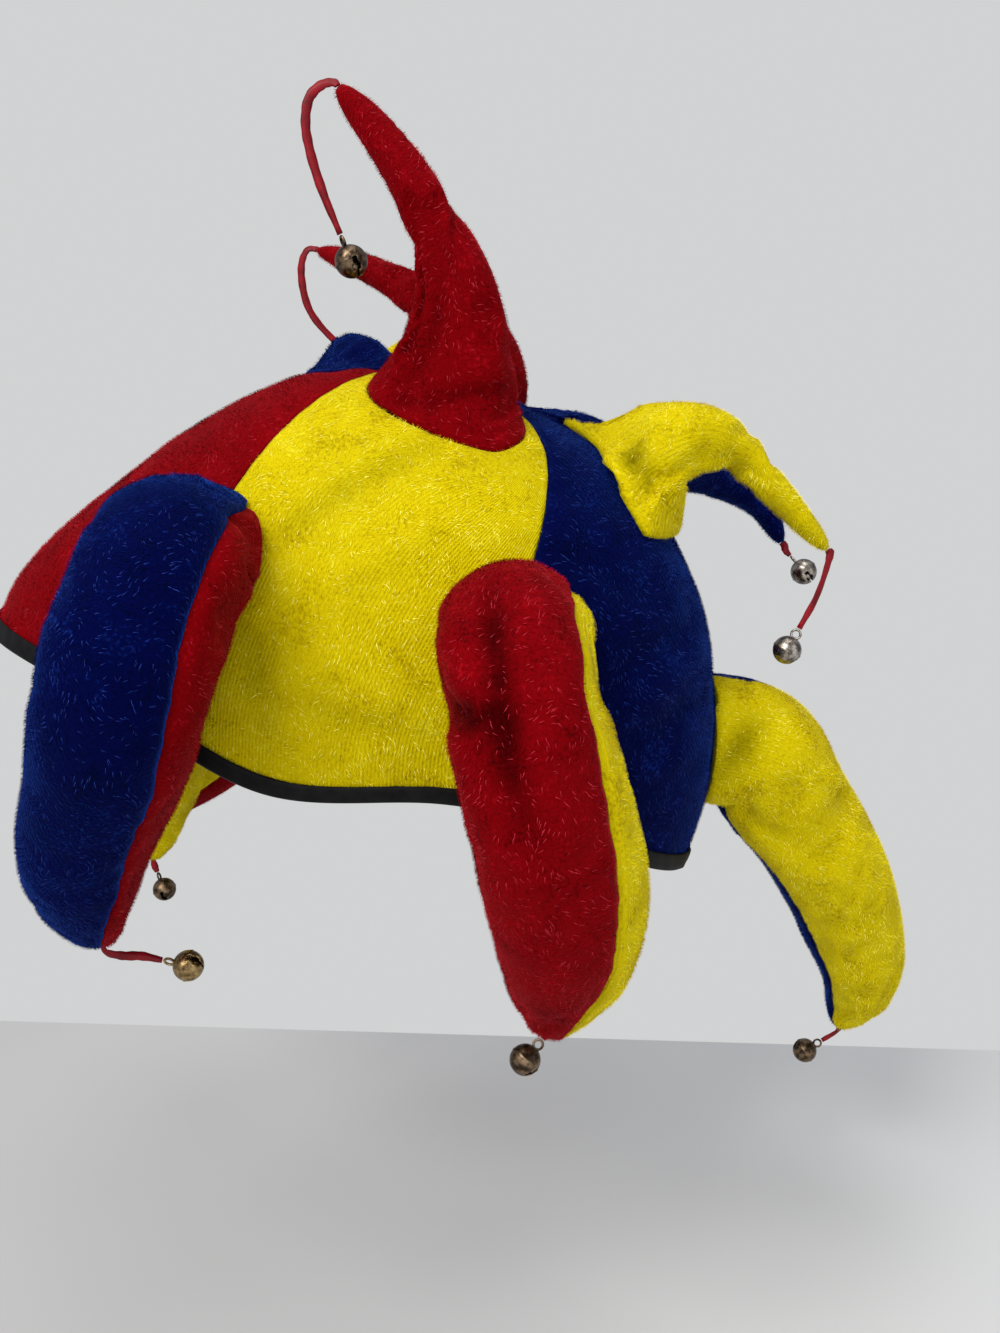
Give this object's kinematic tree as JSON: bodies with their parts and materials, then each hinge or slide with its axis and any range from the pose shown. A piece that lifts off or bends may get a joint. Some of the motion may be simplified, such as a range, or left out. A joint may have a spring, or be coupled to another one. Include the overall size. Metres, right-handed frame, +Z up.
{
  "type": "jester hat",
  "caption": "Soft jester hat: a gored velour crown with two rings of stuffed horns in red, blue and yellow, a bell on a ribbon at each tip and a black satin-bound rim.",
  "frame": {"origin": "the inside top of the crown, where a head meets it, with the hat tilted as displayed", "axes": "+X to the wearer's left side as seen from the front (picture right), +Y to the back, +Z up; the crown's own axis leans 18.5 degrees from +Z towards +X"},
  "size_m": [0.3473, 0.2827, 0.3779],
  "materials": {
    "yellow_velour": "short crushed pile",
    "blue_velour": "short crushed pile",
    "red_velour": "short crushed pile",
    "black_satin": "satin binding",
    "red_satin": "satin ribbon",
    "aged_brass": "worn and darkened"
  },
  "bodies": {
    "root": {"rim_binding": "black_satin", "gore_front": "yellow_velour", "gore_right": "blue_velour", "gore_back_right": "red_velour", "gore_back": "yellow_velour", "gore_back_left": "blue_velour", "gore_left": "red_velour", "upper_horn_front": "red_velour", "upper_horn_right": "yellow_velour", "upper_horn_back_right": "blue_velour", "upper_horn_back": "red_velour", "upper_horn_back_left": "yellow_velour", "upper_horn_left": "blue_velour", "lower_horn_front_left_left_half": "blue_velour", "lower_horn_front_left_right_half": "red_velour", "lower_horn_front_right_left_half": "red_velour", "lower_horn_front_right_right_half": "yellow_velour", "lower_horn_right_left_half": "yellow_velour", "lower_horn_right_right_half": "blue_velour", "lower_horn_back_right_left_half": "blue_velour", "lower_horn_back_right_right_half": "red_velour", "lower_horn_back_left_left_half": "red_velour", "lower_horn_back_left_right_half": "yellow_velour", "lower_horn_left_left_half": "yellow_velour", "lower_horn_left_right_half": "blue_velour", "ribbon_upper_front": "red_satin", "bell_upper_front": "aged_brass", "ribbon_upper_right": "red_satin", "bell_upper_right": "aged_brass", "ribbon_upper_back_right": "red_satin", "bell_upper_back_right": "aged_brass", "ribbon_upper_back": "red_satin", "bell_upper_back": "aged_brass", "ribbon_upper_back_left": "red_satin", "bell_upper_back_left": "aged_brass", "ribbon_upper_left": "red_satin", "bell_upper_left": "aged_brass", "ribbon_lower_front_left": "red_satin", "bell_lower_front_left": "aged_brass", "ribbon_lower_front_right": "red_satin", "bell_lower_front_right": "aged_brass", "ribbon_lower_right": "red_satin", "bell_lower_right": "aged_brass", "ribbon_lower_back_right": "red_satin", "bell_lower_back_right": "aged_brass", "ribbon_lower_back_left": "red_satin", "bell_lower_back_left": "aged_brass", "ribbon_lower_left": "red_satin", "bell_lower_left": "aged_brass"}
  },
  "joints": []
}
